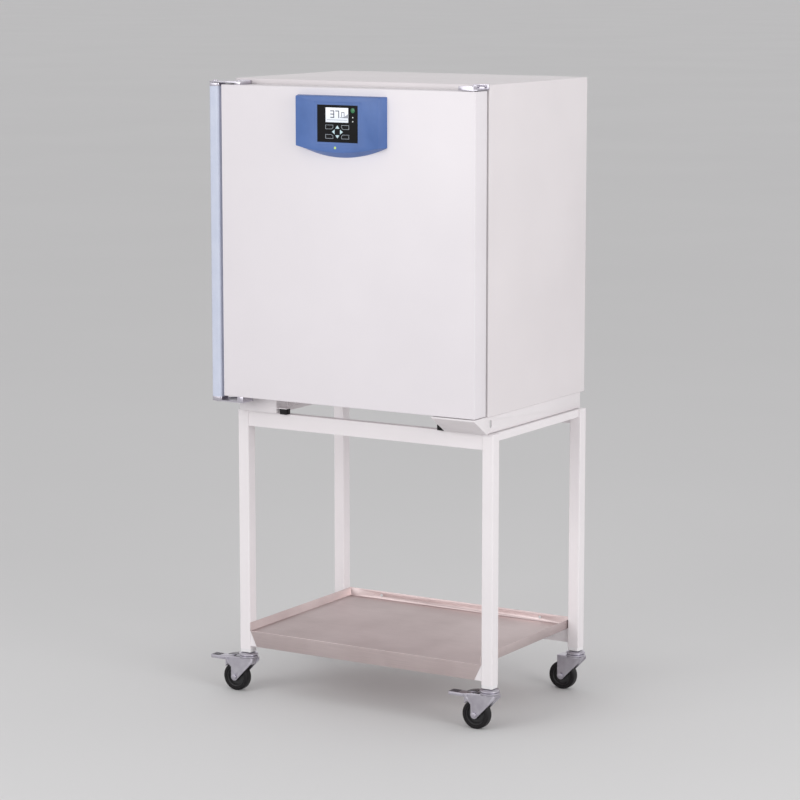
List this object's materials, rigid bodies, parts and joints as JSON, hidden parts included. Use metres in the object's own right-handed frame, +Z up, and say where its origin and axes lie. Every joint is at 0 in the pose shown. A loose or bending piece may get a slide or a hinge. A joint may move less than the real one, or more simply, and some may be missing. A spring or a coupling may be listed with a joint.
{
  "type": "laboratory incubator",
  "caption": "Upright laboratory incubator with an insulated hinged door, inner glass door, front keypad and full-height handle, on a tubular castor stand with a storage tray.",
  "frame": {"origin": "middle of the whole object's footprint, on the floor", "axes": "+Z up, the doors face -Y, +X to the right as seen by a person facing the door"},
  "size_m": [0.87, 0.6456, 1.616],
  "materials": {
    "white_coated_sheet": "light grey-white powder coat, fine texture",
    "white_door_coat": "light grey-white powder coat, satin",
    "white_stand_coat": "white powder coat, semi-gloss",
    "stainless_steel": "brushed stainless sheet",
    "stainless_bar": "bright stainless wire and strip",
    "zinc_plate": "bright zinc plating",
    "blue_plastic": "moulded blue plastic, fine grain",
    "pale_blue_handle": "pale blue moulded plastic",
    "black_panel": "black membrane panel",
    "display_window": "pale display window",
    "green_key": "green key cap",
    "cyan_key": "pale cyan key cap",
    "dark_key": "dark grey key cap",
    "white_plastic": "white moulded plastic",
    "black_plastic": "black moulded plastic",
    "black_rubber": "black rubber",
    "grey_gasket": "dark grey silicone rubber",
    "castor_tyre": "black rubber tread",
    "mineral_wool": "mineral wool",
    "clear_glass": "clear toughened glass"
  },
  "bodies": {
    "cabinet_on_stand": {"stand_legs": "white_stand_coat", "stand_long_rails": "white_stand_coat", "stand_side_rails": "white_stand_coat", "leg_plugs": "white_plastic", "storage_tray": "stainless_steel", "castor_heads": "zinc_plate", "cabinet_shell": "white_coated_sheet", "cabinet_back": "white_coated_sheet", "base_runners": "white_stand_coat", "rubber_feet": "black_rubber", "chamber_liner": "stainless_steel", "insulation": "mineral_wool", "chamber_floor_plate": "stainless_steel", "heating_element": "stainless_bar", "temperature_probe": "stainless_bar", "shelf_ladders": "stainless_bar", "wire_shelves": "stainless_bar", "exhaust_pipe": "stainless_bar", "mains_inlet": "black_plastic", "hinge_plate": "zinc_plate", "hinge_bracket": "white_stand_coat", "hinge_pins": "zinc_plate", "latch_keepers": "zinc_plate", "screws": "zinc_plate"},
    "outer_door": {"door_skin": "white_door_coat", "door_liner": "stainless_steel", "door_insulation": "mineral_wool", "door_gasket": "grey_gasket", "handle_pintles": "zinc_plate", "control_housing": "blue_plastic", "keypad_panel": "black_panel", "display": "display_window"},
    "handle": {"handle_bar": "pale_blue_handle", "handle_ends": "zinc_plate"},
    "inner_glass_door": {"glass_door": "clear_glass", "glass_fittings": "stainless_bar"},
    "vent_flap": {"exhaust_flap": "black_plastic"},
    "castor_fl": {"castor_fork_fl": "zinc_plate", "castor_axle_fl": "zinc_plate"},
    "wheel_fl": {"castor_wheel_fl": "castor_tyre"},
    "castor_fr": {"castor_fork_fr": "zinc_plate", "castor_axle_fr": "zinc_plate"},
    "wheel_fr": {"castor_wheel_fr": "castor_tyre"},
    "castor_rl": {"castor_fork_rl": "zinc_plate", "castor_axle_rl": "zinc_plate"},
    "wheel_rl": {"castor_wheel_rl": "castor_tyre"},
    "castor_rr": {"castor_fork_rr": "zinc_plate", "castor_axle_rr": "zinc_plate"},
    "wheel_rr": {"castor_wheel_rr": "castor_tyre"},
    "brake_fl": {"castor_brake_fl": "zinc_plate"},
    "brake_fr": {"castor_brake_fr": "zinc_plate"},
    "power_key": {"power_key": "green_key"},
    "up_key": {"up_key": "cyan_key"},
    "down_key": {"down_key": "cyan_key"},
    "left_key": {"left_key": "cyan_key"},
    "right_key": {"right_key": "cyan_key"},
    "upper_left_key": {"upper_left_key": "dark_key"},
    "upper_right_key": {"upper_right_key": "dark_key"},
    "lower_left_key": {"lower_left_key": "dark_key"},
    "lower_right_key": {"lower_right_key": "dark_key"}
  },
  "joints": [
    {"name": "outer_door_hinge", "type": "hinge", "parent": "cabinet_on_stand", "child": "outer_door", "pos_m": [0.3955, -0.27735, 1.2], "axis": [0, 0, 1], "range_deg": [0, 115]},
    {"name": "glass_door_hinge", "type": "hinge", "parent": "cabinet_on_stand", "child": "inner_glass_door", "pos_m": [0.3315, -0.22735, 1.23], "axis": [0, 0, 1], "range_deg": [0, 97.75]},
    {"name": "handle_turn", "type": "hinge", "parent": "outer_door", "child": "handle", "pos_m": [-0.3585, -0.27835, 1.2], "axis": [0, 0, 1], "range_deg": [-25, 0]},
    {"name": "vent_flap_turn", "type": "hinge", "parent": "cabinet_on_stand", "child": "vent_flap", "pos_m": [0.0435, 0.29285, 1.446], "axis": [0, 0, 1], "range_deg": [0, 90]},
    {"name": "castor_swivel_fl", "type": "hinge", "parent": "cabinet_on_stand", "child": "castor_fl", "pos_m": [-0.322, -0.20435, 0.092], "axis": [0, 0, 1], "continuous": true},
    {"name": "wheel_spin_fl", "type": "hinge", "parent": "castor_fl", "child": "wheel_fl", "pos_m": [-0.358, -0.20435, 0.0375], "axis": [0, 1, 0], "continuous": true},
    {"name": "castor_swivel_fr", "type": "hinge", "parent": "cabinet_on_stand", "child": "castor_fr", "pos_m": [0.409, -0.20435, 0.092], "axis": [0, 0, 1], "continuous": true},
    {"name": "wheel_spin_fr", "type": "hinge", "parent": "castor_fr", "child": "wheel_fr", "pos_m": [0.373, -0.20435, 0.0375], "axis": [0, 1, 0], "continuous": true},
    {"name": "castor_swivel_rl", "type": "hinge", "parent": "cabinet_on_stand", "child": "castor_rl", "pos_m": [-0.322, 0.25665, 0.092], "axis": [0, 0, 1], "continuous": true},
    {"name": "wheel_spin_rl", "type": "hinge", "parent": "castor_rl", "child": "wheel_rl", "pos_m": [-0.358, 0.25665, 0.0375], "axis": [0, 1, 0], "continuous": true},
    {"name": "castor_swivel_rr", "type": "hinge", "parent": "cabinet_on_stand", "child": "castor_rr", "pos_m": [0.409, 0.25665, 0.092], "axis": [0, 0, 1], "continuous": true},
    {"name": "wheel_spin_rr", "type": "hinge", "parent": "castor_rr", "child": "wheel_rr", "pos_m": [0.373, 0.25665, 0.0375], "axis": [0, 1, 0], "continuous": true},
    {"name": "brake_pedal_fl", "type": "hinge", "parent": "castor_fl", "child": "brake_fl", "pos_m": [-0.38, -0.20435, 0.085], "axis": [0, -1, 0], "range_deg": [0, 5]},
    {"name": "brake_pedal_fr", "type": "hinge", "parent": "castor_fr", "child": "brake_fr", "pos_m": [0.351, -0.20435, 0.085], "axis": [0, -1, 0], "range_deg": [0, 5]},
    {"name": "power_key_press", "type": "slide", "parent": "outer_door", "child": "power_key", "axis": [0, 1, 0], "range_m": [0, 0.0005], "stiffness_N_per_m": 200},
    {"name": "up_key_press", "type": "slide", "parent": "outer_door", "child": "up_key", "axis": [0, 1, 0], "range_m": [0, 0.0005], "stiffness_N_per_m": 200},
    {"name": "down_key_press", "type": "slide", "parent": "outer_door", "child": "down_key", "axis": [0, 1, 0], "range_m": [0, 0.0005], "stiffness_N_per_m": 200},
    {"name": "left_key_press", "type": "slide", "parent": "outer_door", "child": "left_key", "axis": [0, 1, 0], "range_m": [0, 0.0005], "stiffness_N_per_m": 200},
    {"name": "right_key_press", "type": "slide", "parent": "outer_door", "child": "right_key", "axis": [0, 1, 0], "range_m": [0, 0.0005], "stiffness_N_per_m": 200},
    {"name": "upper_left_key_press", "type": "slide", "parent": "outer_door", "child": "upper_left_key", "axis": [0, 1, 0], "range_m": [0, 0.0005], "stiffness_N_per_m": 200},
    {"name": "upper_right_key_press", "type": "slide", "parent": "outer_door", "child": "upper_right_key", "axis": [0, 1, 0], "range_m": [0, 0.0005], "stiffness_N_per_m": 200},
    {"name": "lower_left_key_press", "type": "slide", "parent": "outer_door", "child": "lower_left_key", "axis": [0, 1, 0], "range_m": [0, 0.0005], "stiffness_N_per_m": 200},
    {"name": "lower_right_key_press", "type": "slide", "parent": "outer_door", "child": "lower_right_key", "axis": [0, 1, 0], "range_m": [0, 0.0005], "stiffness_N_per_m": 200}
  ],
  "couplings": [
    {"joint": "glass_door_hinge", "follows": "outer_door_hinge", "ratio": 0.85}
  ]
}
